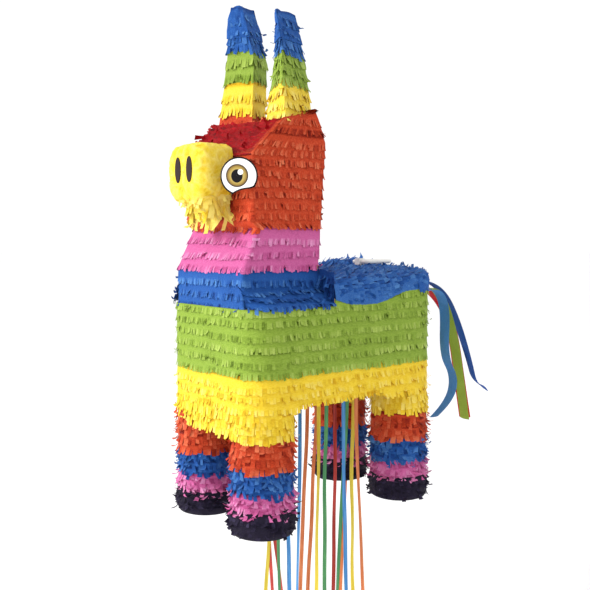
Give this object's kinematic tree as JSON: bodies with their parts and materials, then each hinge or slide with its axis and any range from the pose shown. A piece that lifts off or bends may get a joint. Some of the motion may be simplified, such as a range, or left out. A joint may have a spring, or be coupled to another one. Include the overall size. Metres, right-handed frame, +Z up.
{
  "type": "donkey pinata",
  "caption": "Donkey-shaped party pinata of cardboard covered in rows of cut tissue paper, with a belly trap door, pull ribbons, a hanging loop, a fill flap and a streamer tail.",
  "frame": {"origin": "eye of the hanger on the back, on the plane of symmetry of the body", "axes": "+Z up, -Y the way the donkey faces, +X its left side"},
  "size_m": [0.179, 0.4901, 0.7416],
  "materials": {
    "card": "plain corrugated card",
    "crepe_blue": "matte crepe paper",
    "crepe_green": "matte crepe paper",
    "crepe_navy": "matte crepe paper",
    "crepe_red": "matte crepe paper",
    "dowel": "plain wooden dowel",
    "eye_card": "coated printed card",
    "nostril_card": "printed card",
    "ribbon_blue": "satin curling ribbon",
    "ribbon_green": "satin curling ribbon",
    "ribbon_orange": "satin curling ribbon",
    "ribbon_red": "satin curling ribbon",
    "ribbon_yellow": "satin curling ribbon",
    "tissue_black": "matte cut tissue paper",
    "tissue_blue": "matte cut tissue paper",
    "tissue_crimson": "matte cut tissue paper",
    "tissue_green": "matte cut tissue paper",
    "tissue_pink": "matte cut tissue paper",
    "tissue_red": "matte cut tissue paper",
    "tissue_yellow": "matte cut tissue paper",
    "white_plastic": "satin"
  },
  "bodies": {
    "donkey_body": {"back_panel": "card", "back_tissue_blue": "tissue_blue", "belly_panel": "card", "body_tissue_green": "tissue_green", "body_tissue_yellow": "tissue_yellow", "chest_panel": "card", "ear_core_left": "card", "ear_core_right": "card", "ear_tissue_blue": "tissue_blue", "ear_tissue_green": "tissue_green", "ear_tissue_yellow": "tissue_yellow", "eye_left": "eye_card", "eye_right": "eye_card", "forehead_panel": "card", "forehead_tissue_crimson": "tissue_crimson", "hanger_anchor": "white_plastic", "hanger_crossbar": "dowel", "head_side_left": "card", "head_side_right": "card", "head_tissue_red": "tissue_red", "leg_tissue_black": "tissue_black", "leg_tissue_blue": "tissue_blue", "leg_tissue_pink": "tissue_pink", "leg_tissue_red": "tissue_red", "leg_tube_front_left": "card", "leg_tube_front_right": "card", "leg_tube_rear_left": "card", "leg_tube_rear_right": "card", "nape_panel": "card", "neck_tissue_blue": "tissue_blue", "neck_tissue_pink": "tissue_pink", "nostrils": "nostril_card", "ribbon_blue_front": "ribbon_blue", "ribbon_blue_near": "ribbon_blue", "ribbon_green_middle": "ribbon_green", "ribbon_orange_far": "ribbon_orange", "ribbon_orange_middle": "ribbon_orange", "ribbon_orange_rear": "ribbon_orange", "ribbon_red_front": "ribbon_red", "ribbon_yellow_front": "ribbon_yellow", "ribbon_yellow_middle": "ribbon_yellow", "ribbon_yellow_rear": "ribbon_yellow", "rump_panel": "card", "shoulder_panel": "card", "side_panel_left": "card", "side_panel_right": "card", "snout_shell": "card", "snout_tissue_yellow": "tissue_yellow", "sole_discs": "card", "throat_panel": "card"},
    "hang_loop": {"hang_loop": "white_plastic"},
    "trap_door": {"trap_door": "card"},
    "release_ribbon": {"release_ribbon": "ribbon_green"},
    "fill_flap": {"fill_flap": "card", "fill_flap_tissue": "tissue_blue"},
    "tail": {"tail_streamer_blue": "crepe_blue", "tail_streamer_green": "crepe_green", "tail_streamer_navy": "crepe_navy", "tail_streamer_red": "crepe_red", "tail_tab": "card"}
  },
  "joints": [
    {"name": "trap_door_hinge", "type": "hinge", "parent": "donkey_body", "child": "trap_door", "pos_m": [0, -0.086, -0.147], "axis": [1, 0, 0], "range_deg": [0, 90]},
    {"name": "release_ribbon_swing", "type": "hinge", "parent": "trap_door", "child": "release_ribbon", "pos_m": [0, -0.133, -0.1498], "axis": [1, 0, 0], "range_deg": [-90, 0]},
    {"name": "fill_flap_hinge", "type": "hinge", "parent": "donkey_body", "child": "fill_flap", "pos_m": [-0.038, -0.07, -0.0058], "axis": [0, -1, 0], "range_deg": [0, 110]},
    {"name": "hang_loop_pivot", "type": "hinge", "parent": "donkey_body", "child": "hang_loop", "pos_m": [0, 0, 0], "axis": [1, 0, 0], "range_deg": [0, 95]},
    {"name": "tail_lift", "type": "hinge", "parent": "donkey_body", "child": "tail", "pos_m": [0, 0.0546, -0.037], "axis": [1, 0, 0], "range_deg": [0, 50]}
  ],
  "couplings": [
    {"joint": "release_ribbon_swing", "follows": "trap_door_hinge", "ratio": -1}
  ]
}
